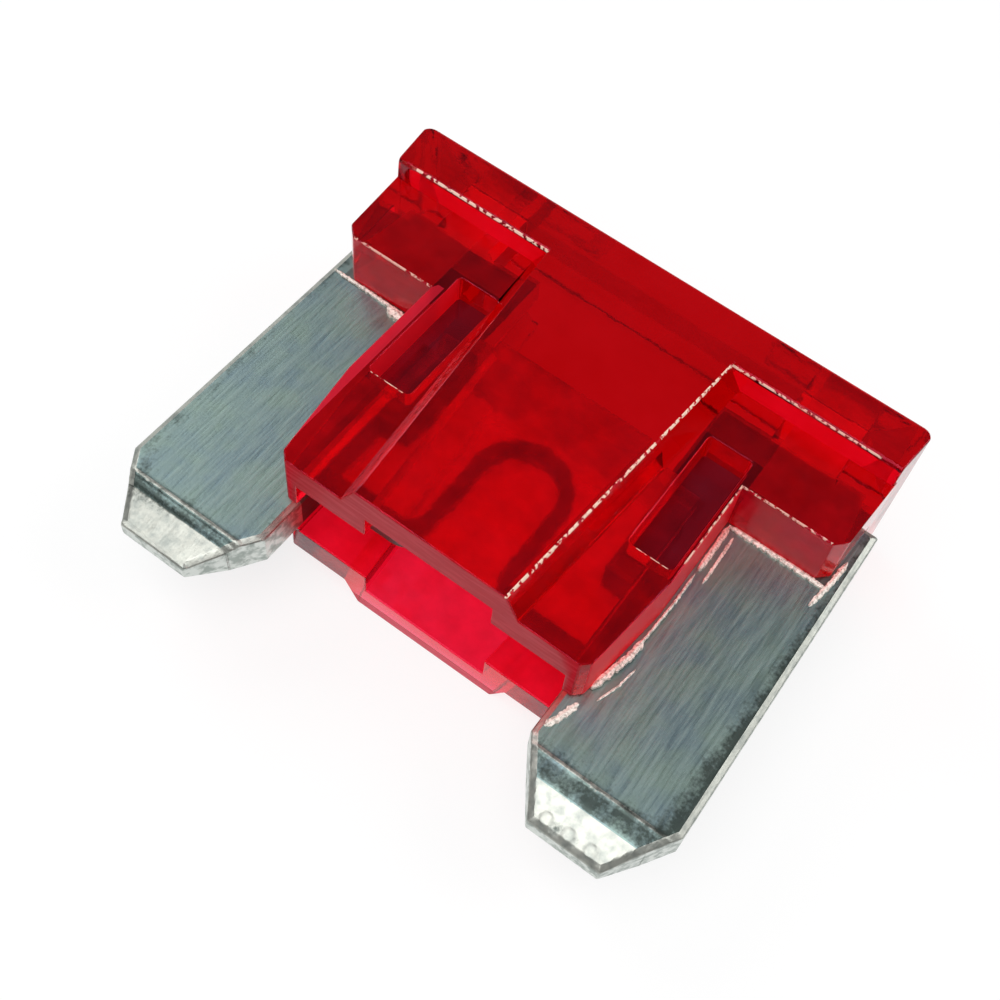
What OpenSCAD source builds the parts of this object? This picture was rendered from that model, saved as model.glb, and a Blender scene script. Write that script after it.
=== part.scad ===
// Low-profile mini blade fuse: a moulded translucent housing around one stamped fuse element.
// The fuse lies on its back. X runs across the two blades, Y from the blade tips to the head
// and Z from the back face to the front face. Heights in Y are counted from the blade tips
// and moved at the end, so that the origin is the middle of the area that the fuse lies on.

/* [Overall] */
// Height from the blade tips to the top of the head
overall_h = 8.73; // [8.5:0.01:9.6]
// Thickness of the head bar and of the centre panel
housing_t = 3.8; // [3.7:0.1:4.6]

/* [Blades] */
// Width across the outer edges of the two blades
element_w = 10.9; // [10.8:0.05:11.4]
// Width of one blade
blade_w = 2.8; // [2.7:0.05:2.95]
// Thickness of the blades
blade_t = 0.8; // [0.6:0.05:0.9]
// Height of the middle of the sheet above the back face
element_z = 1.65; // [1.6:0.05:1.9]
// Length of the cut corners at each blade tip, along the blade
tip_cut_h = 1.12; // [0.8:0.02:1.5]
// Width of each cut corner, across the blade
tip_cut_w = 0.74; // [0.5:0.02:1]
// Length of the coined taper at each blade tip
coin_h = 0.6; // [0.4:0.05:1.2]
// Thickness that the coining leaves at the very tip
tip_t = 0.4; // [0.25:0.05:0.55]

/* [Element inside the housing] */
// Length of blade below the shoulder that runs up beside the lower body
blade_beside_body = 4.18; // [3.9:0.02:4.3]
// Height of the narrow top of each blade head, above the outer edge that shows in the side
head_top_h = 0.2; // [0.15:0.05:0.4]
// Step of the blade's outer edge below that narrow top
head_step = 0.6; // [0.5:0.05:0.9]
// Width of the tab on the inner edge of each blade head
tab_w = 0.62; // [0.4:0.02:0.7]
// Height of the tab's lower edge above the lower edge of the housing
tab_rise = 2.1; // [1.6:0.1:2.6]

/* [Fusible link] */
// Width of the link strip
link_w = 0.26; // [0.18:0.02:0.4]
// Thickness of the link strip
link_t = 0.3; // [0.2:0.05:0.5]
// Radius of the arch, to the middle of the strip
arch_r = 0.82; // [0.6:0.02:0.9]
// Height of the arch's centre above the lower edge of the housing
arch_rise = 2.55; // [2:0.05:3]
// Height of the link's feet above the lower edge of the housing
foot_rise = 0.75; // [0.5:0.05:1]
// Radius of the bend between a leg and its foot
foot_r = 0.4; // [0.3:0.05:0.6]

/* [Head] */
// Distance of the bar's top corners inside the blades' outer edges
bar_inset = 0.13; // [0.02:0.01:0.25]
// Height of the head bar
bar_h = 1.05; // [0.9:0.05:1.2]
// Draft of each end of the bar
bar_draft = 0.12; // [0.04:0.02:0.16]
// Radius of the bar's two outer corners
bar_corner_r = 0.28; // [0.1:0.02:0.4]
// Radius along the bar's long edges
bar_edge_r = 0.1; // [0.05:0.01:0.2]
// Step from the bar's top corners to the shoulder's side
shoulder_inset = 0.1; // [0.06:0.01:0.16]
// Draft of each side of the shoulder
shoulder_draft = 0.1; // [0.02:0.01:0.12]
// Cut of the shoulder's lower corners
shoulder_cut = 0.2; // [0.1:0.02:0.3]
// Depth of the shoulder and the lower body below the head bar, on each face
face_recess = 0.5; // [0.4:0.02:0.6]

/* [Lower body] */
// Distance of the lower body's sides inside the blades' outer edges
body_inset = 2.25; // [2.1:0.05:2.35]
// Length of blade that stands out below the housing
blade_exposed = 1.9; // [1.7:0.05:2.3]
// Height over which the body's sides widen from its lower edge
body_lead_h = 2.0; // [1.5:0.1:3]
// Distance by which each side widens over that height
body_lead_w = 0.22; // [0.05:0.01:0.25]
// Cut of the body's lower corners
body_cut = 0.15; // [0.05:0.01:0.3]
// Width of the flat beside the panel where it meets the bar
panel_side_top = 1.3; // [1.25:0.05:1.5]
// Width of the flat beside the panel at its lower edge
panel_side_bottom = 1.77; // [1.6:0.01:1.9]
// Width of the panel's sloping flanks
panel_flank = 0.28; // [0.1:0.02:0.3]

/* [Stake pockets] */
// Width of each stake pocket
pocket_w = 0.84; // [0.6:0.02:0.86]
// Height of each stake pocket
pocket_h = 2.5; // [2:0.1:2.7]
// Depth of the stake pockets in the front
pocket_depth = 0.6; // [0.3:0.02:0.7]
// Depth of the stake pockets in the back
back_pocket_depth = 0.34; // [0.2:0.02:0.4]
// Distance of a pocket from the side of the lower body
pocket_margin = 0.18; // [0.16:0.01:0.22]
// Shift of the staking tool to one side
stake_shift = 0.08; // [0:0.01:0.1]
// Height of a pocket's lower edge above the lower edge of the housing
pocket_rise = 2.18; // [1.8:0.02:2.4]
// Radius of a pocket's corners
pocket_r = 0.08; // [0.04:0.01:0.2]

/* [Inside the housing] */
// Thickness of the housing's walls
wall = 0.65; // [0.5:0.05:0.7]
// Thickness of the step wall between the chamber and the panel's flanks
step_wall = 0.2; // [0.15:0.05:0.4]
// Gap between the sheet and the slot that grips it
slot_clearance = 0.04; // [0.02:0.01:0.06]
// Plastic between the blade heads and the top of the bar
head_solid = 1.0; // [0.95:0.05:1.2]
// Room between the top of the link and the roof of the chamber
arch_room = 0.45; // [0.3:0.05:0.6]

/* [Probe openings] */
// Width of each probe opening
probe_w = 1.3; // [1:0.1:1.4]
// Height of each probe opening, from back to front
probe_t = 0.9; // [0.7:0.1:1.2]
// Distance from each blade's outer edge to the middle of its probe opening
probe_inset = 1.8; // [1.55:0.05:2.1]

/* [Hidden] */
$fn = 64;

// Small overrun that carries a cut through a face
cut = 0.2;

// Levels along Y, counted from the blade tips
bar_y = overall_h - bar_h;
shoulder_y = blade_exposed + blade_beside_body;
slot_top_y = overall_h - head_solid;
step_y = slot_top_y - head_top_h;
arch_y = blade_exposed + arch_rise;
foot_y = blade_exposed + foot_rise;
chamber_top_y = arch_y + arch_r + link_w / 2 + arch_room;

// Half widths and depths that several shapes share
blade_outer_x = element_w / 2;
blade_inner_x = blade_outer_x - blade_w;
head_outer_x = blade_outer_x - head_step;
tab_x = blade_inner_x - tab_w;
sheet_slot_t = blade_t + 2 * slot_clearance;
body_t = housing_t - 2 * face_recess;

// Widths that follow the element
bar_w = element_w - 2 * bar_inset;
shoulder_top_w = bar_w - 2 * shoulder_inset;
shoulder_bottom_w = shoulder_top_w - 2 * shoulder_draft;
body_w = element_w - 2 * body_inset;
panel_top_w = body_w - 2 * panel_side_top;
panel_bottom_w = body_w - 2 * panel_side_bottom;
probe_x = blade_outer_x - probe_inset;

// A half outline, from top to bottom at +X, closed by its mirror image
function mirrored(points) =
    concat(points, [for (i = [len(points) - 1:-1:0]) [-points[i][0], points[i][1]]]);

// Rectangle with rounded corners, its lower left corner at the origin
module rounded_rectangle(w, h, r) {
    translate([r, 0]) square([w - 2 * r, h]);
    translate([0, r]) square([w, h - 2 * r]);
    for (x = [r, w - r], y = [r, h - r]) translate([x, y]) circle(r);
}

// A profile drawn in Y and Z, carried along X and centred on the middle plane
module along_x(length) {
    translate([-length / 2, 0, 0]) rotate([90, 0, 90]) linear_extrude(length) children();
}

// The same shape on both sides of the middle plane
module both_sides() {
    children();
    mirror([1, 0, 0]) children();
}

// The same shape on the back and the front of the housing
module both_faces() {
    children();
    translate([0, 0, housing_t]) mirror([0, 0, 1]) children();
}

// Full-thickness bar across the head, with drafted ends and rounded edges
module head_bar() {
    intersection() {
        linear_extrude(housing_t) intersection() {
            polygon(mirrored([[bar_w / 2, overall_h], [bar_w / 2 - bar_draft, bar_y]]));
            translate([-bar_w / 2, bar_y - bar_h])
                rounded_rectangle(bar_w, 2 * bar_h, bar_corner_r);
        }
        along_x(bar_w) translate([bar_y, 0])
            rounded_rectangle(bar_h, housing_t, bar_edge_r);
    }
}

// Shoulder and lower body, which stand back from the bar on both faces
module recessed_body() {
    half = [
        [shoulder_top_w / 2, bar_y + bar_edge_r],
        [shoulder_bottom_w / 2, shoulder_y + shoulder_cut],
        [shoulder_bottom_w / 2 - shoulder_cut, shoulder_y],
        [body_w / 2, shoulder_y],
        [body_w / 2, blade_exposed + body_lead_h],
        [body_w / 2 - body_lead_w, blade_exposed + body_cut],
        [body_w / 2 - body_lead_w - body_cut, blade_exposed]
    ];
    translate([0, 0, face_recess]) linear_extrude(body_t) polygon(mirrored(half));
}

// Room that is cut away beside the panel to leave one sloping flank
module flank_cut() {
    run = bar_y - blade_exposed;
    lean = (panel_top_w - panel_bottom_w) / 2;
    length = norm([run, lean]) + 2 * cut;
    profile = [
        [0, 0],
        [panel_flank, face_recess],
        [panel_flank + cut, face_recess],
        [panel_flank + cut, -cut],
        [0, -cut]
    ];
    translate([panel_bottom_w / 2, blade_exposed, 0])
        rotate([0, 0, -atan2(lean, run)])
            translate([0, length - cut, 0])
                rotate([90, 0, 0]) linear_extrude(length) polygon(profile);
}

// Tapered centre panel, level with the bar on both faces
module centre_panel() {
    half = [
        [panel_top_w / 2 + panel_flank, bar_y],
        [panel_bottom_w / 2 + panel_flank, blade_exposed]
    ];
    difference() {
        linear_extrude(housing_t) polygon(mirrored(half));
        both_faces() both_sides() flank_cut();
    }
    // The panel runs into the bar over the bar's rounded lower edge
    translate([-panel_top_w / 2, bar_y, 0]) cube([panel_top_w, bar_edge_r, housing_t]);
}

// Pair of pockets that the staking tool leaves beside the panel, cut in from the back
module stake_pockets(depth) {
    translate([stake_shift, 0, -cut]) linear_extrude(face_recess + depth + cut)
        both_sides() translate([body_w / 2 - pocket_margin - pocket_w, blade_exposed + pocket_rise])
            rounded_rectangle(pocket_w, pocket_h, pocket_r);
}

// Slot that the element is pushed into from below, with a solid web between the blade heads
module sheet_slot() {
    open_w = element_w + 2 * slot_clearance + 2 * cut;
    closed_w = 2 * (head_outer_x + slot_clearance);
    web_w = 2 * (tab_x - slot_clearance);
    translate([0, 0, element_z - sheet_slot_t / 2]) linear_extrude(sheet_slot_t) difference() {
        union() {
            translate([-open_w / 2, blade_exposed - cut])
                square([open_w, step_y + slot_clearance - blade_exposed + cut]);
            translate([-closed_w / 2, blade_exposed - cut])
                square([closed_w, slot_top_y - blade_exposed + cut]);
        }
        translate([-web_w / 2, chamber_top_y]) square([web_w, slot_top_y - chamber_top_y + cut]);
    }
}

// Open chamber around the link, between the blades
module link_chamber() {
    chamber_w = 2 * blade_inner_x;
    chamber_t = body_t - 2 * wall;
    translate([-chamber_w / 2, blade_exposed - cut, face_recess + wall])
        cube([chamber_w, chamber_top_y - blade_exposed + cut, chamber_t]);
}

// Deeper middle of the chamber, behind the back and front of the panel
module panel_channel() {
    run = bar_y - blade_exposed;
    lean_per_mm = (panel_top_w - panel_bottom_w) / 2 / run;
    low_x = panel_bottom_w / 2 - step_wall;
    half = [
        [low_x + lean_per_mm * (chamber_top_y - blade_exposed), chamber_top_y],
        [low_x, blade_exposed],
        [low_x, blade_exposed - cut]
    ];
    translate([0, 0, wall]) linear_extrude(housing_t - 2 * wall) polygon(mirrored(half));
}

// Opening in the top of the bar, down to the head of a blade
module probe_opening() {
    translate([probe_x - probe_w / 2, slot_top_y - slot_clearance, element_z - probe_t / 2])
        cube([probe_w, head_solid + slot_clearance + cut, probe_t]);
}

// Moulded housing
module housing() {
    color([0.78, 0.03, 0.07, 0.8]) difference() {
        union() {
            head_bar();
            recessed_body();
            centre_panel();
        }
        stake_pockets(back_pocket_depth);
        translate([0, 0, housing_t]) mirror([0, 0, 1]) stake_pockets(pocket_depth);
        sheet_slot();
        link_chamber();
        panel_channel();
        both_sides() probe_opening();
    }
}

// Outline of one blade and of its head inside the housing
module blade_outline() {
    polygon([
        [blade_inner_x + tip_cut_w, 0],
        [blade_outer_x - tip_cut_w, 0],
        [blade_outer_x, tip_cut_h],
        [blade_outer_x, step_y],
        [head_outer_x, step_y],
        [head_outer_x, slot_top_y],
        [tab_x, slot_top_y],
        [tab_x, blade_exposed + tab_rise],
        [blade_inner_x, blade_exposed + tab_rise],
        [blade_inner_x, tip_cut_h]
    ]);
}

// Side view of the sheet, full thickness above the coined taper at the tips
module coined_profile() {
    polygon([
        [0, element_z - tip_t / 2],
        [coin_h, element_z - blade_t / 2],
        [slot_top_y, element_z - blade_t / 2],
        [slot_top_y, element_z + blade_t / 2],
        [coin_h, element_z + blade_t / 2],
        [0, element_z + tip_t / 2]
    ]);
}

// Strip of the link: an arch, two legs, two bends and two feet
module link_outline() {
    inner_r = arch_r - link_w / 2;
    outer_r = arch_r + link_w / 2;
    translate([0, arch_y]) difference() {
        circle(outer_r);
        circle(inner_r);
        translate([-outer_r - cut, -outer_r - cut])
            square([2 * (outer_r + cut), outer_r + cut]);
    }
    both_sides() {
        translate([inner_r, foot_y + foot_r]) square([link_w, arch_y - foot_y - foot_r]);
        translate([arch_r + foot_r, foot_y + foot_r]) intersection() {
            difference() {
                circle(foot_r + link_w / 2);
                circle(foot_r - link_w / 2);
            }
            translate([-foot_r - link_w, -foot_r - link_w])
                square([foot_r + link_w, foot_r + link_w]);
        }
        translate([arch_r + foot_r, foot_y - link_w / 2])
            square([blade_inner_x + link_w - arch_r - foot_r, link_w]);
    }
}

// Fuse element, stamped from one sheet
module fuse_element() {
    color([0.74, 0.77, 0.76]) {
        intersection() {
            linear_extrude(housing_t) both_sides() blade_outline();
            along_x(element_w) coined_profile();
        }
        translate([0, 0, element_z - link_t / 2]) linear_extrude(link_t) link_outline();
    }
}

translate([0, -overall_h / 2, 0]) {
    housing();
    fuse_element();
}
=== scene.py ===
"""Looks of a low-profile mini blade fuse: translucent red housing on a stamped zinc element.

The classes that dress the pieces work in mm, with y counted from the blade tips. A mask is 0 where
it does nothing and 1 where it does all.
"""
import logging
import math
from dataclasses import dataclass
from enum import Enum
from typing import Callable, Iterable

import bmesh
import bpy
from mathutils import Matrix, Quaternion, Vector, geometry, noise


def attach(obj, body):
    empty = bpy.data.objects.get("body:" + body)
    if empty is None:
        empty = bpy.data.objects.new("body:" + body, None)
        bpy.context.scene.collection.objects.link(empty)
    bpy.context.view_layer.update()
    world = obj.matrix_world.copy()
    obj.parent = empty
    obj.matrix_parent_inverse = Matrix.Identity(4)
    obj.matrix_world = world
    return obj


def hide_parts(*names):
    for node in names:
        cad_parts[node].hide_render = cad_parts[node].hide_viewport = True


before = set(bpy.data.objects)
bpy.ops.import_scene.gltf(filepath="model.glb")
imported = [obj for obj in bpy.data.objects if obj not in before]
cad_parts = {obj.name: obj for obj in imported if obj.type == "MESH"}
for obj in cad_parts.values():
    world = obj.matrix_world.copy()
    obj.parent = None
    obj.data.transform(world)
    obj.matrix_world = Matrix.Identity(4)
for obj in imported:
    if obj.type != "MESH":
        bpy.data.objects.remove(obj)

LOG = logging.getLogger("fuse")
MM = 0.001
PER_MM = 1000.0
HALF_HEIGHT = 4.365  # from the blade tips to the middle of the fuse, in mm
BODY = "root"
SLIGHT = math.radians(0.8)  # least fold between two facets of a curved face
FACET_AREA = 0.2  # largest facet of a curved face, in mm2
SLIVER_AREA = 0.0002  # a smaller face has no sure normal of its own, in mm2
SQUARE = 0.8  # least share of a face's normal along the direction that the face looks in
FACING = 0.5  # the same for a face that looks more that way than not
LEANING = 0.3  # the same for a face that only leans that way
MARKED = 0.5  # least value of a face's mark that counts as set

Colour = tuple[float, float, float, float]
Point = tuple[float, float, float]
Box = tuple[Point, Point]
Node = bpy.types.Node
Socket = bpy.types.NodeSocket
Tree = bpy.types.NodeTree


def linear(code: str) -> Colour:
    """Turn an sRGB hex value into linear light.

    Args:
        code: colour as "#RRGGBB".

    Returns:
        Linear red, green and blue, and an alpha of 1.
    """
    parts = [int(code[i:i + 2], 16) / 255 for i in (1, 3, 5)]
    flat = [c / 12.92 if c <= 0.04045 else ((c + 0.055) / 1.055) ** 2.4 for c in parts]
    return (flat[0], flat[1], flat[2], 1.0)


def at(x: float, y: float, z: float) -> Vector:
    """Give a point counted from the blade tips and the back face in the row frame, in mm."""
    return Vector((x, y - HALF_HEIGHT, z))


def height(place: Vector) -> float:
    """Give how far a place of the row frame is from the blade tips, in mm."""
    return place.y + HALF_HEIGHT


def held(value: float) -> float:
    """Hold a value between 0 and 1."""
    return max(0.0, min(1.0, value))


def faded(level: float, gap: float, reach: float) -> float:
    """Give a level that fades out evenly over a reach, both gap and reach in mm."""
    return level * max(0.0, 1 - gap / reach)


def add_node(tree: Tree, kind: str, inputs: dict | None = None, **settings) -> Node:
    """Add a node with its settings and links.

    Args:
        tree: node tree that takes the node.
        kind: type of the node, without the common prefix.
        inputs: values by socket name or number; an output socket is linked, the rest is set.
        settings: properties of the node itself.

    Returns:
        The new node.
    """
    node = tree.nodes.new("ShaderNode" + kind)
    for name, value in settings.items():
        setattr(node, name, value)
    for name, value in (inputs or {}).items():
        if isinstance(value, Socket):
            tree.links.new(value, node.inputs[name])
        else:
            node.inputs[name].default_value = value
    return node


class Weave(Enum):
    """How a pattern lies on its surface: the stretch of its cells across, along and up."""

    EVEN = (1.0, 1.0, 1.0)
    ROLLED = (1.0, 0.07, 1.0)
    MOULDED = (0.12, 1.0, 1.0)


class Patterns:
    """Patterns of one node tree, with every size in millimetres."""

    def __init__(self, tree: Tree) -> None:
        """Start from the object's own coordinates.

        Args:
            tree: node tree that takes the patterns.
        """
        self.tree = tree
        place = add_node(tree, "TexCoord").outputs["Object"]
        scaled = add_node(tree, "VectorMath", {0: place, "Scale": PER_MM}, operation="SCALE")
        self.place = scaled.outputs["Vector"]

    def mask(self, name: str) -> Socket:
        """Read a mask that the mesh carries on its faces."""
        return add_node(self.tree, "Attribute", attribute_name=name).outputs["Fac"]

    def grain(
            self, size: float, detail: float = 2.0, weave: Weave = Weave.EVEN,
            seed: float = 0.0) -> Socket:
        """Make a cloudy pattern.

        Args:
            size: size of its cells, in mm.
            detail: how many finer layers it has.
            weave: stretch of its cells.
            seed: offset that makes patterns differ.

        Returns:
            Its value, about 0 to 1.
        """
        stretched = add_node(
            self.tree, "VectorMath", {0: self.place, 1: weave.value}, operation="MULTIPLY")
        moved = add_node(
            self.tree, "VectorMath", {0: stretched.outputs[0], 1: (seed,) * 3}, operation="ADD")
        return add_node(self.tree, "TexNoise", {
            "Vector": moved.outputs[0], "Scale": 1.0 / size, "Detail": detail, "Roughness": 0.55,
        }).outputs["Fac"]

    def window(
            self, value: Socket, low: float, high: float, to_low: float = 0.0,
            to_high: float = 1.0) -> Socket:
        """Map a value between two limits, held at both ends.

        Args:
            value: the value to map.
            low: limit that becomes to_low.
            high: limit that becomes to_high.
            to_low: result at the low limit.
            to_high: result at the high limit.

        Returns:
            The mapped value.
        """
        return add_node(self.tree, "MapRange", {
            "Value": value, "From Min": low, "From Max": high, "To Min": to_low, "To Max": to_high,
        }).outputs["Result"]

    def combine(self, how: str, first: Socket | float, second: Socket | float) -> Socket:
        """Join two values by a named sum."""
        return add_node(self.tree, "Math", {0: first, 1: second}, operation=how).outputs[0]

    def blend(self, share: Socket, first: Socket | Colour, second: Socket | Colour) -> Socket:
        """Mix two colours by a share."""
        node = add_node(self.tree, "Mix", {0: share, 6: first, 7: second}, data_type="RGBA")
        return node.outputs[2]

    def number(self, share: Socket, first: Socket | float, second: Socket | float) -> Socket:
        """Mix two values by a share."""
        node = add_node(self.tree, "Mix", {0: share, 2: first, 3: second}, data_type="FLOAT")
        return node.outputs[0]

    def bump(self, pattern: Socket, depth: float, strength: float = 1.0) -> Socket:
        """Turn a pattern into relief.

        Args:
            pattern: the pattern, high where it is bright.
            depth: its depth, in mm.
            strength: share of the relief that shows.

        Returns:
            The normal.
        """
        return add_node(self.tree, "Bump", {
            "Height": pattern, "Distance": depth * MM, "Strength": strength,
        }).outputs["Normal"]


@dataclass(frozen=True)
class Finish:
    """What every finish shares: its name and the start of its node tree."""

    name: str

    def start(self) -> tuple[bpy.types.Material, Tree, Node]:
        """Make an empty material with its output.

        Returns:
            The material, its node tree and the output node.
        """
        material = bpy.data.materials.new(self.name)
        material.use_nodes = True
        tree = material.node_tree
        tree.nodes.clear()
        return material, tree, add_node(tree, "OutputMaterial")


@dataclass(frozen=True)
class MouldedPolysulfone(Finish):
    """Clear polymer tinted red in the mass: deep where it is thick, with pale edges that are partly
    scuffing and partly painted highlight, painted glow on walls that catch the light, and painted
    shade on the stake pockets' floors.
    """

    name: str = "moulded_red_polymer"
    tint: str = "#FA3C60"
    haze: str = "#EC1438"
    shade: str = "#B40A22"
    painted_glow: str = "#F82036"
    frost: str = "#AE1620"
    frost_pale: str = "#BC2C36"
    sheen: str = "#FF6E98"
    pocket_shade_colour: str = "#240406"
    scuff_and_highlight: str = "#F0D4BE"
    depth_colour: Colour = (0.945, 0.02, 0.36, 1.0)
    density: float = 3400.0
    ior: float = 1.5
    gloss: float = 0.05
    gloss_spread: float = 0.06
    core_rough: float = 0.2
    matte_rough: float = 0.55
    clearness: float = 0.985
    core_clearness: float = 0.72
    glow_clearness: float = 0.45
    frost_clearness: float = 0.3
    pocket_shade_clearness: float = 0.45
    lamp_tint: str = "#FFB8B4"
    cloud_mm: float = 1.1
    ripple_mm: float = 0.4
    speck_mm: float = 0.085
    ripple_height: float = 0.6
    cloud_height: float = 1.4
    relief_mm: float = 0.02

    def build(self) -> bpy.types.Material:
        """Make the material.

        Returns:
            The finished material.
        """
        material, tree, output = self.start()
        p = Patterns(tree)
        core, frost, lit, pocket_shade = (p.mask(name) for name in ("core", "frost", "painted_glow", "pocket_shade"))
        clouds = p.grain(self.cloud_mm, 3.0)
        ripple = p.grain(self.ripple_mm, 3.0, seed=7.0)
        # Scuffs are broken up by specks, drawn coarser than the real ones so that they show. The pale
        # edge lines are partly scuffing and partly painted highlight
        specks = p.window(p.grain(self.speck_mm, 2.0, seed=3.0), 0.42, 0.5)
        wear_and_painted_light = p.combine("MULTIPLY", p.mask("scuff_and_highlight"), specks)

        deep = p.blend(p.window(clouds, 0.35, 0.65), linear(self.tint), linear(self.haze))
        inner = p.blend(p.window(ripple, 0.3, 0.7), linear(self.haze), linear(self.shade))
        streaks = p.window(p.grain(self.speck_mm, 3.0, Weave.MOULDED, seed=9.0), 0.45, 0.62)
        matte = p.blend(streaks, linear(self.frost), linear(self.frost_pale))
        colour = p.blend(core, deep, inner)
        # Painted light: walls that catch the light are coloured a brighter red
        colour = p.blend(lit, colour, linear(self.painted_glow))
        colour = p.blend(frost, colour, matte)
        # Painted shade: the stake pockets' floors are coloured dark maroon
        colour = p.blend(pocket_shade, colour, linear(self.pocket_shade_colour))
        # Pale edge lines: partly scuffing, partly painted highlight
        colour = p.blend(wear_and_painted_light, colour, linear(self.scuff_and_highlight))

        clear = p.number(core, self.clearness, self.core_clearness)
        clear = p.number(lit, clear, self.glow_clearness)
        clear = p.number(frost, clear, self.frost_clearness)
        clear = p.number(pocket_shade, clear, self.pocket_shade_clearness)
        clear = p.number(wear_and_painted_light, clear, 0.0)

        rough = p.window(ripple, 0.3, 0.7, self.gloss, self.gloss + self.gloss_spread)
        rough = p.number(core, rough, self.core_rough)
        rough = p.number(p.combine("MAXIMUM", frost, lit), rough, self.matte_rough)

        relief = p.combine(
            "ADD", p.combine("MULTIPLY", ripple, self.ripple_height),
            p.combine("MULTIPLY", clouds, self.cloud_height))
        body = add_node(tree, "BsdfPrincipled", {
            "Base Color": colour, "Roughness": rough, "IOR": self.ior, "Transmission Weight": clear,
            "Specular Tint": linear(self.sheen), "Normal": p.bump(relief, self.relief_mm, 0.5),
        })
        # Lamps reach what lies inside and behind the clear plastic
        lamps = add_node(tree, "LightPath").outputs["Is Shadow Ray"]
        passing = add_node(tree, "BsdfTransparent", {"Color": linear(self.lamp_tint)})
        mixed = add_node(tree, "MixShader", {0: lamps, 1: body.outputs[0], 2: passing.outputs[0]})
        tree.links.new(mixed.outputs[0], output.inputs["Surface"])
        inside = add_node(
            tree, "VolumeAbsorption", {"Color": self.depth_colour, "Density": self.density})
        tree.links.new(inside.outputs[0], output.inputs["Volume"])
        return material


@dataclass(frozen=True)
class RolledZinc(Finish):
    """Zinc alloy sheet: blue-grey rolled faces, mottled dark rims with painted shade at the coining's
    fold and between its beads, and bright blanked edges.
    """

    name: str = "rolled_zinc_sheet"
    face: str = "#90A3A0"
    face_cool: str = "#7A8F95"
    face_green: str = "#869B93"
    hidden_shade: str = "#6A7270"
    wear_and_shade: str = "#3E4642"
    bright: str = "#BCBEB6"
    dull: str = "#9CA19C"
    edge: str = "#D8DDD8"
    edge_dull: str = "#A2ABA5"
    coined_rough: float = 0.42
    streak_mm: float = 0.06
    mottle_mm: float = 0.7
    pit_mm: float = 0.055
    streak_height: float = 0.6
    pit_height: float = 0.25
    relief_mm: float = 0.012

    def build(self) -> bpy.types.Material:
        """Make the material.

        Returns:
            The finished material.
        """
        material, tree, output = self.start()
        p = Patterns(tree)
        edge, coined, wear_and_shade, rolled, hidden = (
            p.mask(name) for name in ("edge", "coined", "wear_and_shade", "rolled", "hidden"))
        # Rolling lines are finer than this on real sheet, and wouldn't show
        streaks = p.grain(self.streak_mm, 3.0, Weave.ROLLED)
        mottle = p.grain(self.mottle_mm, 4.0, seed=5.0)
        pits = p.grain(self.pit_mm, 3.0, seed=11.0)
        blots = p.grain(3.0 * self.pit_mm, 3.0, seed=17.0)

        colour = p.blend(
            p.window(mottle, 0.38, 0.62), linear(self.face_green), linear(self.face_cool))
        colour = p.blend(p.window(streaks, 0.35, 0.7, 0.0, 0.7), colour, linear(self.face))
        stains = p.grain(6.0 * self.pit_mm, 2.0, seed=21.0)
        spots = p.combine("ADD", p.combine("ADD", pits, blots), stains)
        stained = p.combine("SUBTRACT", wear_and_shade, p.combine("SUBTRACT", spots, 1.5))
        dark = p.window(stained, 0.28, 0.85, 0.0, 0.85)
        dark = p.combine("MULTIPLY", dark, p.window(wear_and_shade, 0.0, 0.2))
        # Mottled wear along the outline and a darker band above the coining, with painted shade at
        # the fold
        colour = p.blend(dark, colour, linear(self.wear_and_shade))
        side = p.blend(p.window(blots, 0.4, 0.58), linear(self.edge_dull), linear(self.edge))
        colour = p.blend(edge, colour, side)
        fresh = p.blend(p.window(blots, 0.3, 0.56), linear(self.dull), linear(self.bright))
        colour = p.blend(p.combine("MAXIMUM", coined, rolled), colour, fresh)
        # Painted shade reaches onto the coining: under the fold and between the beads
        colour = p.blend(p.combine("MULTIPLY", dark, coined), colour, linear(self.wear_and_shade))
        # Painted shade: the metal inside the housing is coloured darker
        colour = p.blend(hidden, colour, linear(self.hidden_shade))

        rough = p.window(streaks, 0.3, 0.7, 0.36, 0.5)
        rough = p.number(coined, rough, self.coined_rough)
        relief = p.combine(
            "ADD", p.combine("MULTIPLY", streaks, self.streak_height),
            p.combine("MULTIPLY", pits, self.pit_height))
        shade = add_node(tree, "BsdfPrincipled", {
            "Base Color": colour, "Roughness": rough, "Metallic": 1.0,
            "Normal": p.bump(relief, self.relief_mm, 0.6),
        })
        tree.links.new(shade.outputs[0], output.inputs["Surface"])
        return material


@dataclass(frozen=True)
class TornZinc(Finish):
    """Freshly torn zinc shavings: pale, rough and glinting."""

    name: str = "torn_zinc_shavings"
    pale: str = "#F8F2E8"
    dull: str = "#B0A89E"
    pit_mm: float = 0.05
    relief_mm: float = 0.02
    rough: float = 0.5
    metallic: float = 0.1

    def build(self) -> bpy.types.Material:
        """Make the material.

        Returns:
            The finished material.
        """
        material, tree, output = self.start()
        p = Patterns(tree)
        pits = p.grain(self.pit_mm, 3.0, seed=2.0)
        colour = p.blend(p.window(pits, 0.34, 0.56), linear(self.dull), linear(self.pale))
        shade = add_node(tree, "BsdfPrincipled", {
            "Base Color": colour, "Roughness": self.rough, "Metallic": self.metallic,
            "Normal": p.bump(pits, self.relief_mm, 0.8),
        })
        tree.links.new(shade.outputs[0], output.inputs["Surface"])
        return material


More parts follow.
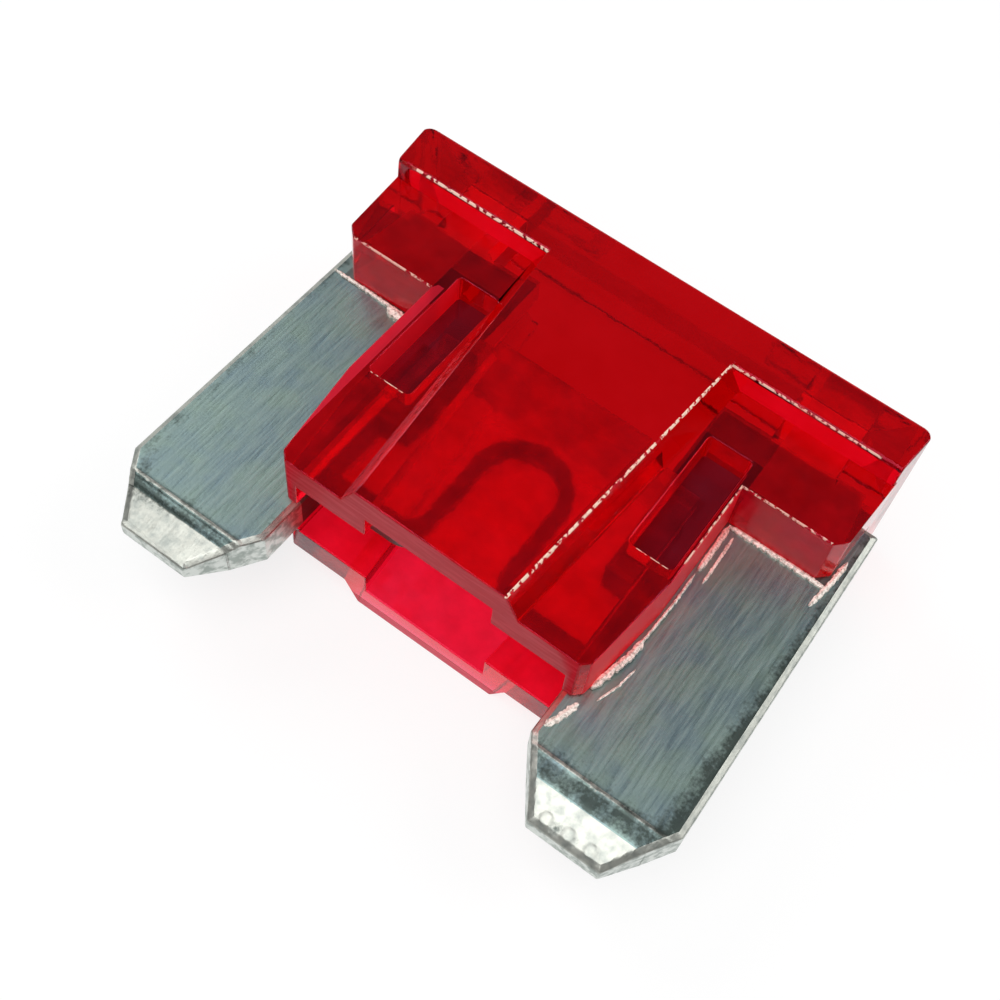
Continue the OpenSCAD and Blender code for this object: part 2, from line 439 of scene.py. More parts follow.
@dataclass(frozen=True)
class WhitePaper(Finish):
    """Matte white paper: white wherever the camera sees it bare, with the fuse's shadow on it."""

    name: str = "white_paper"
    colour: str = "#FDFDFD"
    lift: float = 0.8

    def build(self) -> bpy.types.Material:
        """Make the material.

        Returns:
            The finished material.
        """
        material, tree, output = self.start()
        paper = add_node(tree, "BsdfDiffuse", {"Color": linear(self.colour)})
        white = add_node(tree, "Emission", {"Color": (1.0, 1.0, 1.0, 1.0), "Strength": 1.0})
        rays = add_node(tree, "LightPath").outputs
        through = add_node(
            tree, "Math", {0: rays["Is Glossy Ray"], 1: rays["Is Transmission Ray"]},
            operation="MAXIMUM")
        seen = add_node(
            tree, "Math", {0: rays["Is Camera Ray"], 1: self.lift}, operation="MULTIPLY")
        share = add_node(
            tree, "Math", {0: through.outputs[0], 1: seen.outputs[0]}, operation="MAXIMUM")
        mixed = add_node(
            tree, "MixShader", {0: share.outputs[0], 1: paper.outputs[0], 2: white.outputs[0]})
        tree.links.new(mixed.outputs[0], output.inputs["Surface"])
        return material


@dataclass(frozen=True)
class ScuffHighlightLine:
    """A stretch of edge painted pale, partly as scuffing and partly as a painted highlight, from one
    end to the other, in mm from the tips.
    """

    start: Point
    end: Point
    level: float = 1.0
    reach: float = 0.04

    def covers(self, centre: Vector) -> bool:
        """Say whether a face's centre lies on the line.

        Args:
            centre: the face's centre, in mm in the row frame.

        Returns:
            True if it is within reach of the line.
        """
        low, high = at(*self.start), at(*self.end)
        nearest, share = geometry.intersect_point_line(centre, low, high)
        return -0.01 <= share <= 1.01 and (nearest - centre).length < self.reach


def link_piece(
        name: str, bm: bmesh.types.BMesh, material: bpy.types.Material) -> bpy.types.Object:
    """Turn a mesh in mm into a piece in metres that rides with the fuse.

    Args:
        name: name of the piece.
        bm: its mesh, in mm; it is freed.
        material: its material.

    Returns:
        The piece.
    """
    bmesh.ops.scale(bm, vec=(MM,) * 3, verts=bm.verts)
    mesh = bpy.data.meshes.new(name)
    bm.to_mesh(mesh)
    bm.free()
    mesh.materials.append(material)
    piece = bpy.data.objects.new(name, mesh)
    bpy.context.scene.collection.objects.link(piece)
    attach(piece, BODY)
    LOG.info("%s: %d faces", name, len(mesh.polygons))
    return piece


class SolidCopy:
    """A node's own mesh, copied to be dressed, in mm."""

    def __init__(self, node: str) -> None:
        """Copy the node's mesh, weld it and take out the lines inside flat faces.

        Args:
            node: name of the node.
        """
        self.node = node
        self.planes: list[Vector] = []
        self.bm = bmesh.new()
        self.bm.from_mesh(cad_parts[node].data)
        bmesh.ops.scale(self.bm, vec=(PER_MM,) * 3, verts=self.bm.verts)
        bmesh.ops.remove_doubles(self.bm, verts=self.bm.verts, dist=0.002)
        bmesh.ops.dissolve_limit(
            self.bm, angle_limit=math.radians(0.6), verts=self.bm.verts, edges=self.bm.edges)

    def soften(
            self, width: float, segments: int, least_deg: float = 24.0,
            spared: tuple[Box, ...] = ()) -> None:
        """Round every outer sharp edge, and mark the curved faces as rounded.

        Args:
            width: width of the rounding, in mm.
            segments: how many faces it has.
            least_deg: least angle between two faces that counts as sharp.
            spared: boxes whose edges stay sharp, because they leave no room for a rounding.
        """
        layer = self.bm.faces.layers.float.new("rounded")
        least = math.radians(least_deg)
        curved = {f for e in self.bm.edges for f in e.link_faces
                  if SLIGHT < e.calc_face_angle(0.0) < least and f.calc_area() < FACET_AREA}
        for face in curved:
            face[layer] = 1.0
        sharp = [e for e in self.bm.edges if e.is_manifold and e.calc_face_angle_signed(0.0) > least
                 and not any(self.inside(box, v.co) for box in spared for v in e.verts)]
        made = bmesh.ops.bevel(
            self.bm, geom=sharp, offset=width, offset_type="OFFSET", segments=segments,
            profile=0.5, affect="EDGES", clamp_overlap=False, loop_slide=False, material=-1)
        for face in made["faces"]:
            face[layer] = 1.0
        bmesh.ops.dissolve_degenerate(self.bm, dist=0.001, edges=self.bm.edges)

    @staticmethod
    def inside(box: Box, place: Vector) -> bool:
        """Say whether a place lies in a box, counted from the tips; left and right are alike."""
        (x0, y0, z0), (x1, y1, z1) = box
        return x0 < abs(place.x) < x1 and y0 < height(place) < y1 and z0 < place.z < z1

    def settle(self) -> None:
        """Note the plane of every face, then split it into triangles, so that cuts stay true."""
        layer = self.bm.faces.layers.int.new("plane")
        self.bm.normal_update()
        for number, face in enumerate(self.bm.faces):
            face[layer] = number
            self.planes.append(face.normal.copy())
        bmesh.ops.triangulate(self.bm, faces=self.bm.faces)

    def cut(self, normal: Vector, levels: Iterable[float]) -> None:
        """Cut every face along planes, without opening the mesh.

        Args:
            normal: direction of the planes.
            levels: distances of the planes from the origin, in mm.
        """
        for level in levels:
            bmesh.ops.bisect_plane(
                self.bm, geom=[*self.bm.verts, *self.bm.edges, *self.bm.faces],
                plane_co=normal * level, plane_no=normal)

    def paint(self, name: str, value: Callable[[bmesh.types.BMFace], float]) -> None:
        """Write a mask on the faces.

        Args:
            name: name of the mask.
            value: gives each face's value, 0 to 1.
        """
        layer = self.bm.faces.layers.float.new(name)
        for face in self.bm.faces:
            face[layer] = value(face)

    def paint_points(self, name: str, value: Callable[[Vector], float]) -> None:
        """Write a mask that fades from corner to corner.

        Args:
            name: name of the mask.
            value: gives the value, 0 to 1, at a corner's place.
        """
        layer = self.bm.verts.layers.float.new(name)
        for vert in self.bm.verts:
            vert[layer] = value(vert.co)

    def finish(self, name: str, material: bpy.types.Material) -> bpy.types.Object:
        """Turn the copy into a piece that stands for its node.

        Args:
            name: name of the piece.
            material: its material.

        Returns:
            The piece.
        """
        self.bm.normal_update()
        normals = self.shading()
        for face in self.bm.faces:
            face.smooth = True
        piece = link_piece(name, self.bm, material)
        piece.data.normals_split_custom_set(normals)
        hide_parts(self.node)
        return piece

    def shading(self) -> list[Vector]:
        """Give each corner its shading normal: flat faces keep theirs, and roundings run into them.

        Returns:
            One normal for each corner, in the mesh's order.
        """
        layer = self.bm.faces.layers.float["rounded"]
        plane = self.bm.faces.layers.int["plane"]
        true = {face: self.planes[face[plane]] if face[plane] >= 0 else face.normal
                for face in self.bm.faces}
        normals = []
        for face in self.bm.faces:
            own = true[face]
            if face[plane] < 0 and face.calc_area() < SLIVER_AREA:
                normals += [vert.normal.copy() for vert in face.verts]
                continue
            for vert in face.verts:
                if face[layer] < MARKED:
                    normals.append(own.copy())
                    continue
                near = [f for f in vert.link_faces if true[f].dot(own) > LEANING]
                flat = [true[f] for f in near if f[layer] < MARKED]
                if flat:
                    normals.append(max(flat, key=own.dot).copy())
                else:
                    mean = sum((true[f] * f.calc_area() for f in near), own * 1e-6)
                    normals.append(mean.normalized())
        return normals


@dataclass
class Housing:
    """The moulded housing: rounded edges, pale lines of scuffing and painted highlight, a frosted
    mouth, a textured core, painted glow, and painted shade in the stake pockets.
    """

    edge_mm: float = 0.03
    mouth_y: float = 1.9
    shoulder_y: float = 6.08
    recess_z: float = 3.3
    slot_z: tuple[float, float] = (1.21, 2.09)
    slot_x: float = 5.0
    rim_z: float = 0.28
    panel_x: float = 1.75
    back_wall_z: float = 1.18
    side_wall_x: tuple[float, float] = (2.9, 3.3)
    side_wall_z: float = 2.0
    pocket_wall_x: tuple[float, float] = (-3.0, -2.9)
    pocket_wall_z: tuple[float, float] = (2.68, 3.28)
    outer_slot_x: float = 3.3
    chamber: Box = ((-1.0, 0.0, 0.6), (2.7, 5.9, 3.2))
    pocket_floor: Box = ((2.1, 4.05, 2.6), (3.12, 6.62, 2.8))
    opening: Box = ((2.97, 7.75, 1.15), (4.33, 8.68, 2.15))
    near_mm: float = 0.05
    patch_mm: float = 0.4
    patch_y: float = 2.2
    patches: tuple[int, int] = (14, 17)
    flat_normal: float = 0.985
    shoulder_texture: float = 0.7
    chamber_texture: float = 0.8
    chamber_side_texture: float = 0.3
    back_rim_frost: float = 0.8
    pocket_shade_level: float = 0.8
    side_glow: float = 0.8
    band_glow: float = 0.6
    wall_glow: float = 0.3
    windows_x: tuple[tuple[float, float], ...] = ((-3.5, -2.2), (2.0, 3.2))
    window_y: tuple[float, float] = (4.3, 7.1)
    band_x: tuple[float, float] = (-3.2, -3.0)
    opening_x: tuple[float, float] = (3.0, 4.3)
    spared: tuple[Box, ...] = (
        ((2.9, 7.6, 1.1), (4.4, 7.8, 2.2)),
        ((5.1, 7.6, 3.2), (5.25, 7.8, 3.4)),
        ((5.1, 7.6, 0.4), (5.25, 7.8, 0.6)),
    )
    scuff_highlights: tuple[ScuffHighlightLine, ...] = (
        ScuffHighlightLine((-4.95, 7.705, 3.77), (-1.9, 7.705, 3.77), 1.0, 0.026),
        ScuffHighlightLine((1.95, 7.705, 3.77), (4.75, 7.705, 3.77), 0.9, 0.022),
        ScuffHighlightLine((1.43, 1.95, 3.8), (1.9, 7.65, 3.8)),
        ScuffHighlightLine((-2.86, 4.08, 3.3), (-2.2, 4.08, 3.3)),
        ScuffHighlightLine((2.4, 4.08, 3.3), (3.02, 4.08, 3.3), 0.85),
        ScuffHighlightLine((3.2, 4.3, 3.3), (3.2, 6.06, 3.3), 0.85),
        ScuffHighlightLine((-4.85, 6.08, 3.3), (-3.3, 6.08, 3.3), 0.8),
        ScuffHighlightLine((3.4, 6.08, 3.3), (4.85, 6.08, 3.3), 0.8),
        ScuffHighlightLine((5.12, 6.3, 3.3), (5.17, 7.1, 3.3), 0.75),
    )

    def build(self, material: bpy.types.Material) -> bpy.types.Object:
        """Dress the housing.

        Args:
            material: the moulded polymer.

        Returns:
            The piece.
        """
        copy = SolidCopy("housing")
        copy.soften(self.edge_mm, 2, spared=self.spared)
        copy.settle()
        columns, rows = self.patches
        across = {round(s * self.patch_mm * k, 3) for k in range(columns) for s in (-1, 1)}
        across |= {s * x for x in self.opening_x for s in (-1, 1)}
        across |= {x for pair in self.windows_x for x in pair}
        along = {round(at(0, self.patch_y + self.patch_mm * k, 0).y, 3) for k in range(rows)}
        along |= {at(0, y, 0).y for y in self.window_y}
        copy.cut(Vector((1, 0, 0)), sorted(across))
        copy.cut(Vector((0, 1, 0)), sorted(along))
        copy.cut(Vector((0, 0, 1)), [self.rim_z])
        # Pale edge lines, partly scuffing and partly painted highlight
        copy.paint("scuff_and_highlight", self.scuff_and_highlight_share)
        copy.paint("frost", self.frosted)
        copy.paint("core", self.core)
        # Painted light: brighter red on walls that catch the light
        copy.paint("painted_glow", self.lit)
        # Painted shade: dark maroon on the stake pockets' floors
        copy.paint("pocket_shade", self.pocket_shade)
        return copy.finish("housing_moulding", material)

    def scuff_and_highlight_share(self, face: bmesh.types.BMFace) -> float:
        """Give a face's share of pale scuffing and painted highlight: only roundings carry it."""
        centre = face.calc_center_median()
        if max(abs(c) for c in face.normal) > self.flat_normal:
            return 0.0
        return max((line.level for line in self.scuff_highlights if line.covers(centre)), default=0.0)

    def frosted(self, face: bmesh.types.BMFace) -> float:
        """Give the share of matte finish on the faces that look down towards the tips."""
        centre = face.calc_center_median()
        if face.normal.y > -SQUARE or height(centre) > self.mouth_y + self.near_mm:
            return 0.0
        front_wall = centre.z > self.slot_z[0]
        back_rim = centre.z < self.rim_z and abs(centre.x) < self.panel_x
        return 1.0 if front_wall else self.back_rim_frost * float(back_rim)

    def in_window(self, place: Vector) -> bool:
        """Say whether a place lies across from one of the clear windows beside the panel."""
        return any(low < place.x < high for low, high in self.windows_x)

    def core(self, face: bmesh.types.BMFace) -> float:
        """Give the texture of the faces that the core of the mould leaves."""
        centre = face.calc_center_median()
        y = height(centre)
        if face.normal.y < -SQUARE and abs(y - self.shoulder_y) < self.near_mm:
            return self.shoulder_texture
        low, high = self.slot_z
        in_slot = low - 0.03 < centre.z < high + 0.03 and abs(centre.x) < self.slot_x
        in_chamber = SolidCopy.inside(self.chamber, centre)
        if not (in_slot or in_chamber) or y < self.mouth_y + 0.06:
            return 0.0
        if in_chamber and not in_slot:
            level = abs(face.normal.z) > SQUARE
            return self.chamber_texture if level else self.chamber_side_texture
        clear = self.in_window(centre) and self.window_y[0] < y < self.window_y[1]
        return float(not clear)

    def pocket_shade(self, face: bmesh.types.BMFace) -> float:
        """Give the painted shade on the floors of the stake pockets: a dark maroon for the shadowed
        metal under them.
        """
        on_floor = SolidCopy.inside(self.pocket_floor, face.calc_center_median())
        return self.pocket_shade_level * float(face.normal.z > FACING and on_floor)

    def lit(self, face: bmesh.types.BMFace) -> float:
        """Give the painted glow, a brighter red painted on walls that catch the light: in the
        openings, at the sides and behind.
        """
        centre, normal = face.calc_center_median(), face.normal
        x, y, z = centre.x, height(centre), centre.z
        (pocket_low, pocket_high), (side_low, side_high) = self.pocket_wall_x, self.side_wall_x
        in_pocket = self.pocket_wall_z[0] < z < self.pocket_wall_z[1]
        if normal.x > SQUARE and pocket_low < x < pocket_high and in_pocket:
            return 1.0
        in_side = side_low < abs(x) < side_high and self.side_wall_z < z < self.recess_z
        if abs(normal.x) > SQUARE and in_side:
            return self.side_glow
        if normal.z > SQUARE and z < self.back_wall_z and y < self.chamber[1][1]:
            return self.wall_glow
        on_recess = normal.z > SQUARE and abs(z - self.recess_z) < self.near_mm
        if on_recess and self.band_x[0] < x < self.band_x[1]:
            return self.band_glow * float(y < self.shoulder_y)
        on_slot = normal.z < -SQUARE and abs(z - self.slot_z[1]) < self.near_mm
        if on_slot and abs(x) > self.outer_slot_x:
            return 0.0 if self.in_window(centre) else self.wall_glow
        return float(SolidCopy.inside(self.opening, centre))


@dataclass
class Blade:
    """Front face of one blade towards its tip: depth below the sheet by distance from the tip."""

    profile: tuple[tuple[float, float], ...]
    dark_y: tuple[float, float]
    coined_y: float

    def depth(self, y: float) -> float:
        """Give the depth of the front face at a distance from the tip, in mm.

        Args:
            y: distance from the tip, in mm.

        Returns:
            The depth below the sheet's own face.
        """
        for (low, a), (high, b) in zip(self.profile, self.profile[1:]):
            if y <= high:
                return a + (b - a) * (y - low) / (high - low)
        return 0.0


@dataclass
class FuseElement:
    """The stamped element: rolled faces, worn rims with painted shade at the coining, coined tips and
    bright blanked edges.
    """

    edge_mm: float = 0.03
    front_z: float = 2.05
    middle_z: float = 1.65
    back_z: float = 1.25
    outer_x: float = 5.45
    inner_x: float = 2.65
    link_x: float = 2.0
    coin_y: float = 0.6
    coin_depth: float = 0.2
    struck_mm: float = 0.3
    struck_y: float = 1.05
    lip_mm: float = 0.05
    grain_mm: float = 0.004
    grain_per_mm: float = 6.0
    ridge_mm: float = 0.006
    fine_mm: float = 0.03
    fine_rows: int = 35
    fine_columns: int = 34
    row_mm: float = 0.2
    rows_y: float = 1.2
    rows: int = 33
    column_mm: float = 0.1
    columns: int = 27
    clear_mm: float = 0.02
    roll_mm: float = 0.11
    roll_drop: float = 0.06
    rolled_shine: float = 0.9
    edge_normal: float = 0.6
    rim_mm: float = 0.17
    bare_y: float = 2.0
    body_x: float = 2.95
    shoulder_y: float = 6.08
    shoulder_x: float = 5.12
    bead_x: tuple[float, ...] = (3.62, 4.02, 4.42)
    bead_y: float = 0.17
    hollow_x: tuple[float, ...] = (3.82, 4.22)
    bead_mm: float = 0.13
    bead_rise: float = 0.018
    bead_steepness: float = 2.2
    hollow_shade: float = 0.6
    worn_mm: tuple[float, float] = (0.2, 0.45)
    worn_y: tuple[float, float] = (1.0, 5.5)
    worn_solid: float = 1.35
    band_gap: float = 0.02
    band_dark: tuple[float, float, float] = (0.42, 0.25, 0.8)
    left_dark: tuple[float, float] = (0.35, 0.65)
    left_y: float = 5.0
    inner_dark: float = 0.4
    inner_mm: float = 0.3
    fold_shade: float = 0.6
    fold_mm: float = 0.35
    coin_fold_shade: float = 0.45
    coin_mm: float = 0.25
    coin_side: float = 1.6
    corner: tuple[float, float] = (4.71, 1.51)
    blades: tuple[Blade, ...] = (
        Blade(((0.0, 0.2), (0.05, 0.19), (0.1, 0.215), (0.3, 0.165), (0.45, 0.135), (0.6, 0.1),
               (0.68, 0.035), (0.73, 0.035), (0.77, -0.012), (0.81, -0.015), (0.86, 0.0)),
              (0.6, 0.7), 0.6),
        Blade(((0.0, 0.2), (0.05, 0.18), (0.2, 0.15), (0.4, 0.08), (0.56, 0.03), (0.64, 0.01),
               (0.9, 0.0), (0.93, -0.012), (0.97, -0.012), (1.0, 0.0)),
              (0.6, 0.92), 0.56),
    )

    def build(self, material: bpy.types.Material) -> bpy.types.Object:
        """Dress the element.

        Args:
            material: the rolled zinc.

        Returns:
            The piece.
        """
        copy = SolidCopy("fuse_element")
        rings = copy.bm.faces.layers.float.new("ring")
        for sign in (1, -1):
            self.roll_over(copy.bm, rings, sign)
        copy.soften(self.edge_mm, 2, 35.0)
        copy.settle()
        along, across = Vector((0, 1, 0)), Vector((1, 0, 0))
        copy.cut(along, [at(0, self.fine_mm * k, 0).y for k in range(1, self.fine_rows + 1)])
        copy.cut(along, [at(0, self.rows_y + self.row_mm * k, 0).y for k in range(self.rows)])
        fine = [self.bead_x[0] - self.bead_mm + self.fine_mm * k for k in range(self.fine_columns)]
        coarse = [self.inner_x + self.column_mm * k for k in range(1, self.columns + 1)]
        low, high = fine[0] - self.clear_mm, fine[-1] + self.clear_mm
        coarse = [x for x in coarse if not low < x < high]
        copy.cut(across, sorted(s * x for x in coarse + fine for s in (-1, 1)))
        self.strike(copy.bm)
        ring = copy.bm.faces.layers.float["ring"]
        copy.paint("edge", lambda face: float(abs(face.normal.z) < self.edge_normal))
        copy.paint("coined", self.coined)
        copy.paint("rolled", lambda face: self.rolled_shine * float(
            face[ring] == 1.0 and self.exposed(face)))
        # Darker wear along the outline, and painted shade at the fold and between the beads
        copy.paint_points("wear_and_shade", self.wear_and_painted_light)
        # Painted shade: the metal inside the housing gets a darker colour
        copy.paint("hidden", lambda face: float(not self.exposed(face)))
        return copy.finish("element_stamping", material)

    def roll_over(self, bm: bmesh.types.BMesh, rings: bmesh.types.BMLayerItem, sign: int) -> None:
        """Roll the outline of one face of the sheet over, as the die does.

        Args:
            bm: the element's mesh, in mm.
            rings: layer that counts the rings from the outline: 1 is rolled, 2 lies inside it.
            sign: 1 for the front face, -1 for the back.
        """
        for number, width in ((1.0, self.roll_mm), (2.0, self.rim_mm)):
            region = [f for f in bm.faces if f.normal.z * sign > SQUARE and f[rings] < MARKED
                      and abs(f.calc_center_median().x) > self.link_x]
            if number == 1.0:
                for vert in {v for f in region for v in f.verts}:
                    vert.co.z = self.front_z if sign > 0 else self.back_z
                bm.normal_update()
            made = bmesh.ops.inset_region(
                bm, faces=region, thickness=width, depth=0.0, use_even_offset=True,
                use_boundary=True)["faces"]
            for face in made:
                face[rings] = number
            if number == 1.0:
                inside = {*region, *made}
                outline = {v for f in made for v in f.verts if set(v.link_faces) - inside}
                for vert in outline:
                    vert.co.z -= sign * self.roll_drop

    def blade(self, place: Vector) -> Blade:
        """Give the blade that a place belongs to."""
        return self.blades[0] if place.x < 0 else self.blades[1]

    def strike(self, bm: bmesh.types.BMesh) -> None:
        """Shape the coined tips of both faces; the sheet's sides follow in proportion to height.

        Args:
            bm: the element's mesh, in mm.
        """
        bm.normal_update()
        rounded, plane = bm.faces.layers.float["rounded"], bm.faces.layers.int["plane"]
        for vert in bm.verts:
            y = height(vert.co)
            if y > self.struck_y or abs(vert.co.x) < self.inner_x - self.column_mm:
                continue
            front = vert.co.z > self.middle_z
            for face in vert.link_faces:
                if abs(face.normal.z) > LEANING:
                    face[rounded] = max(face[rounded], float(front))
                    face[plane] = -1
            share = min(1.0, abs(vert.co.z - self.middle_z) / self.struck_mm)
            if not front:
                vert.co.z += share * self.coin_depth * max(0.0, 1 - y / self.coin_y)
                continue
            blade = self.blade(vert.co)
            coined = float(y < blade.coined_y)
            grain = coined * self.grain_mm * noise.noise(vert.co * self.grain_per_mm)
            struck = vert.co.z + share * (min(1.0, y / self.lip_mm) * grain - blade.depth(y))
            bead = share * held(self.bead_steepness * (1 - self.bead_gap(vert.co)))
            top = self.front_z - blade.depth(y) + self.bead_rise
            vert.co.z = struck + bead * (top - struck)

    def bead_gap(self, place: Vector) -> float:
        """Give how far a place is from the nearest bead's middle, counted in bead radii."""
        return self.reach(place, self.bead_x) / self.bead_mm

    def reach(self, place: Vector, middles: tuple[float, ...]) -> float:
        """Give how far a place is from the nearest of some points on the beads' row, in mm."""
        y = height(place) - self.bead_y
        return min(math.hypot(place.x - x, y) for x in middles)

    def coined(self, face: bmesh.types.BMFace) -> float:
        """Give 1 for the faces that the coining leaves bright."""
        centre = face.calc_center_median()
        ridge = face.normal.z > LEANING and centre.z > self.front_z + self.ridge_mm
        struck = face.normal.z > FACING and height(centre) < self.blade(centre).coined_y
        return float(ridge or struck)

    def exposed(self, face: bmesh.types.BMFace) -> bool:
        """Say whether a face lies outside the housing: only there do the rolled edges show bright,
        and faces inside are painted darker, as shade.
        """
        centre = face.calc_center_median()
        x, y = abs(centre.x), height(centre)
        return y < self.bare_y or (x > self.body_x and y < self.shoulder_y) or x > self.shoulder_x

    def wear_and_painted_light(self, place: Vector) -> float:
        """Give how dark a place is painted: in a band above the coining, along the outline, and as
        painted shade at the fold and between the beads.

        Args:
            place: the place, in mm in the row frame.

        Returns:
            0 for clean to 1 for dark, and more on the link, where the painted shade of the hidden
            metal covers it.
        """
        x, y = abs(place.x), height(place)
        low, high = self.blade(place).dark_y
        if y < low - self.band_gap:
            return self.coining_shade(place)
        if y < high:
            dark, rise_per_mm, darkest = self.band_dark
            return min(darkest, dark + rise_per_mm * (x - self.inner_x))
        corner = (y - (x - self.corner[0]) * self.corner[1]) / math.hypot(1, self.corner[1])
        gap = min(self.outer_x - x, corner)
        near, far = self.worn_mm
        low_y, high_y = self.worn_y
        spread = near + (far - near) * held((high_y - y) / (high_y - low_y))
        share = 1.0 if place.x > 0 else self.left_dark[int(y > self.left_y)]
        outer = share * held(self.worn_solid - gap / spread)
        inner = faded(self.inner_dark, x - self.inner_x, self.inner_mm)
        # Painted shade: darker just above the fold of the coining
        return max(outer, inner, faded(self.fold_shade, y - high, self.fold_mm))

    def coining_shade(self, place: Vector) -> float:
        """Give the painted shade on the coining: under the left blade's fold and between the right
        one's beads.
        """
        if place.x < 0:
            fold = self.blade(place).dark_y[0] - height(place)
            shade = faded(self.coin_fold_shade, fold, self.coin_mm)
            return shade * held(self.coin_side - (self.outer_x - abs(place.x)))
        # Painted shade between the beads
        return faded(self.hollow_shade, self.reach(place, self.hollow_x), self.bead_mm)


@dataclass(frozen=True)
class Sliver:
    """A torn strip: the points that it passes, in mm from the tips, its size and raggedness."""

    path: tuple[Point, ...]
    width: float
    thick: float = 0.04
    ragged: float = 0.35


@dataclass
class Shavings:
    """Torn strips of zinc where the blades were pushed into the housing."""

    seed: float = 4.0
    step_mm: float = 0.04
    sunk_mm: float = 0.03
    slivers: tuple[Sliver, ...] = (
        Sliver(((-5.35, 6.06, 2.05), (-4.4, 6.04, 2.07), (-3.8, 6.0, 2.1), (-3.3, 5.96, 2.12)),
               0.07, 0.05, 0.8),
        Sliver(((-4.05, 5.98, 2.06), (-3.55, 5.9, 2.1), (-3.28, 5.84, 2.12)), 0.2, 0.1, 0.8),
        Sliver(((3.25, 6.05, 2.06), (4.3, 6.05, 2.07), (5.2, 6.04, 2.05)), 0.1, 0.06, 0.9),
        Sliver(((5.1, 5.6, 2.04), (5.2, 6.2, 2.1), (5.24, 6.7, 2.06)), 0.1, 0.05, 0.7),
        Sliver(((3.28, 5.0, 2.08), (3.28, 5.5, 2.1), (3.27, 6.0, 2.1)), 0.11, 0.06, 0.5),
        Sliver(((3.46, 4.85, 2.05), (3.45, 5.4, 2.06), (3.43, 5.9, 2.05)), 0.06, 0.03, 0.9),
        Sliver(((3.02, 2.2, 2.1), (3.12, 2.6, 2.15), (3.22, 3.0, 2.16), (3.24, 3.35, 2.14)),
               0.13, 0.07, 0.8),
        Sliver(((3.22, 3.1, 2.1), (3.26, 3.7, 2.14), (3.28, 4.3, 2.1), (3.27, 4.9, 2.08)),
               0.05, 0.04, 1.0),
        Sliver(((3.2, 2.1, 2.05), (3.34, 2.5, 2.07), (3.4, 2.9, 2.05)), 0.04, 0.02, 1.0),
        Sliver(((2.78, 1.28, 2.05), (2.88, 1.5, 2.06), (3.0, 1.88, 2.06)), 0.13, 0.045, 0.55),
        Sliver(((-3.3, 2.6, 2.08), (-3.24, 3.0, 2.12), (-3.25, 3.35, 2.08)), 0.1, 0.05, 0.9),
    )

    def build(self, material: bpy.types.Material) -> bpy.types.Object:
        """Make all the strips as one piece.

        Args:
            material: the torn zinc.

        Returns:
            The piece.
        """
        bm = bmesh.new()
        for number, sliver in enumerate(self.slivers):
            self.strip(bm, sliver, self.seed + 3.0 * number)
        return link_piece("blade_shavings", bm, material)

    def strip(self, bm: bmesh.types.BMesh, sliver: Sliver, seed: float) -> None:
        """Add one closed, ragged strip.

        Args:
            bm: mesh that takes it, in mm.
            sliver: its path, width and thickness.
            seed: offset that makes strips differ.
        """
        stops = [at(*p) for p in sliver.path]
        spans = [(b - a).length for a, b in zip(stops, stops[1:])]
        count = max(4, int(sum(spans) / self.step_mm))
        low = Vector((0, 0, -self.sunk_mm))
        rings = []
        for i in range(count + 1):
            run = sum(spans) * i / count
            for a, b, span in zip(stops, stops[1:], spans):
                if run <= span or b is stops[-1]:
                    break
                run -= span
            centre = a.lerp(b, min(1.0, run / span))
            across = (b - a).cross(Vector((0, 0, 1))).normalized()
            taper = min(1.0, 0.3 + 8 * i / count, 0.3 + 8 * (1 - i / count))
            left = 1 + sliver.ragged * noise.noise(Vector((i * 0.7, seed, 0)))
            right = 1 + sliver.ragged * noise.noise(Vector((i * 0.7, seed, 9)))
            lift = 0.5 + 0.5 * noise.noise(Vector((i * 0.2, seed, 5)))
            half = across * (sliver.width * taper / 2)
            up = Vector((0, 0, sliver.thick * (0.6 + 0.8 * lift)))
            rings.append([bm.verts.new(centre + p) for p in (
                low - half * left, low + half * right,
                up * 0.6 + half * right * 0.9, up, up * 0.7 - half * left * 0.8)])
        for a, b in zip(rings, rings[1:]):
            for k in range(5):
                n = (k + 1) % 5
                bm.faces.new((a[k], a[n], b[n], b[k]))
        bm.faces.new(list(reversed(rings[0])))
        bm.faces.new(rings[-1])
        bmesh.ops.recalc_face_normals(bm, faces=bm.faces)


@dataclass
class Viewpoint:
    """Camera at the photograph's viewing angle."""

    place_mm: Point = (5.5838, -10.4562, 22.422)
    turn: tuple[float, float, float, float] = (0.908712, 0.291252, 0.022199, 0.298198)
    lens: float = 50.0856
    sensor: float = 36.0
    shift: tuple[float, float] = (-0.105, -0.085)

    def build(self) -> bpy.types.Object:
        """Place the camera and make it the scene's own.

        Returns:
            The camera.
        """
        data = bpy.data.cameras.new("camera")
        data.lens = self.lens
        data.sensor_width = self.sensor
        data.shift_x, data.shift_y = self.shift
        data.clip_start, data.clip_end = 0.0005, 10.0
        camera = bpy.data.objects.new("camera", data)
        camera.location = Vector(self.place_mm) * MM
        camera.rotation_mode = "QUATERNION"
        camera.rotation_quaternion = Quaternion(self.turn)
        bpy.context.scene.collection.objects.link(camera)
        bpy.context.scene.camera = camera
        return camera


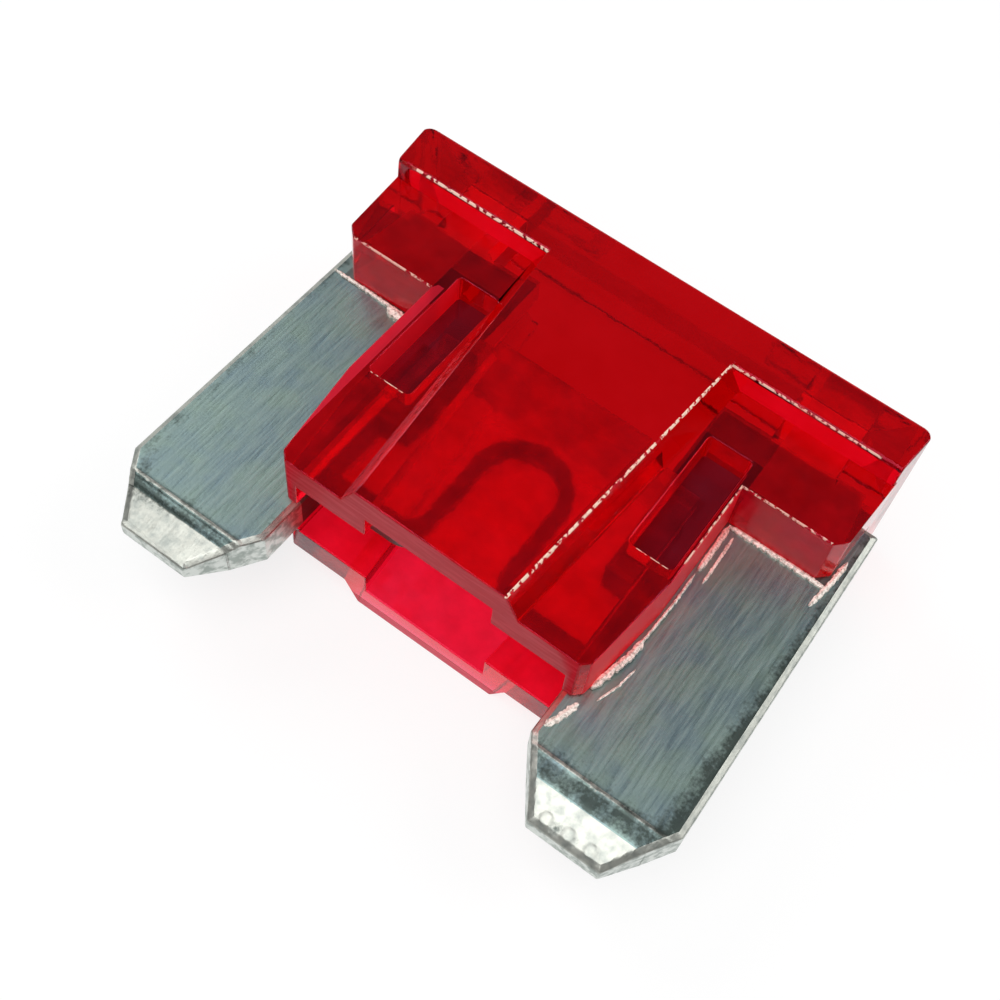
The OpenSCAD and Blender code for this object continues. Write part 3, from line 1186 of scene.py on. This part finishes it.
@dataclass(frozen=True)
class Lamp:
    """One soft square lamp that faces the fuse: place and side in metres, and power in watts."""

    name: str
    place: Point
    size: float
    power: float

    def build(self) -> None:
        """Hang the lamp."""
        data = bpy.data.lights.new(self.name, "AREA")
        data.size = self.size
        data.energy = self.power
        lamp = bpy.data.objects.new(self.name, data)
        lamp.location = self.place
        lamp.rotation_mode = "QUATERNION"
        lamp.rotation_quaternion = (-Vector(self.place)).to_track_quat("-Z", "Y")
        bpy.context.scene.collection.objects.link(lamp)


@dataclass
class Studio:
    """Plain pale floor, soft lamps and a quiet surround."""

    floor_half: float = 0.5
    surround: float = 0.19
    lamps: tuple[Lamp, ...] = (
        Lamp("overhead", (-0.005, -0.048, 0.125), 0.125, 0.14),
        Lamp("left_side", (-0.112, 0.032, 0.088), 0.08, 0.06),
        Lamp("right_side", (0.09, 0.07, 0.09), 0.09, 0.07),
    )

    def build(self) -> None:
        """Make the floor, the world and the lamps."""
        self.floor()
        self.world()
        for lamp in self.lamps:
            lamp.build()

    def floor(self) -> None:
        """Make the floor that the fuse lies on."""
        mesh = bpy.data.meshes.new("floor")
        half = self.floor_half
        corners = [(-half, -half, 0), (half, -half, 0), (half, half, 0), (-half, half, 0)]
        mesh.from_pydata(corners, [], [(0, 1, 2, 3)])
        floor = bpy.data.objects.new("floor", mesh)
        bpy.context.scene.collection.objects.link(floor)
        mesh.materials.append(WhitePaper().build())

    def world(self) -> None:
        """Make the surround: white to the camera, quiet elsewhere."""
        world = bpy.data.worlds.new("surround")
        world.use_nodes = True
        tree = world.node_tree
        tree.nodes.clear()
        seen = add_node(tree, "LightPath").outputs["Is Camera Ray"]
        level = add_node(tree, "MapRange", {"Value": seen, "To Min": self.surround, "To Max": 1.0})
        light = add_node(tree, "Background", {"Color": (1, 1, 1, 1), "Strength": level.outputs[0]})
        add_node(tree, "OutputWorld", {"Surface": light.outputs[0]})
        bpy.context.scene.world = world


def main() -> None:
    """Build the fuse's looks, the studio and the camera."""
    logging.basicConfig(level=logging.INFO, format="%(message)s")
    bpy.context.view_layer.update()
    bpy.context.scene.view_settings.view_transform = "Standard"
    Viewpoint().build()
    Studio().build()
    Housing().build(MouldedPolysulfone().build())
    FuseElement().build(RolledZinc().build())
    Shavings().build(TornZinc().build())


if __name__ == "__main__":
    main()
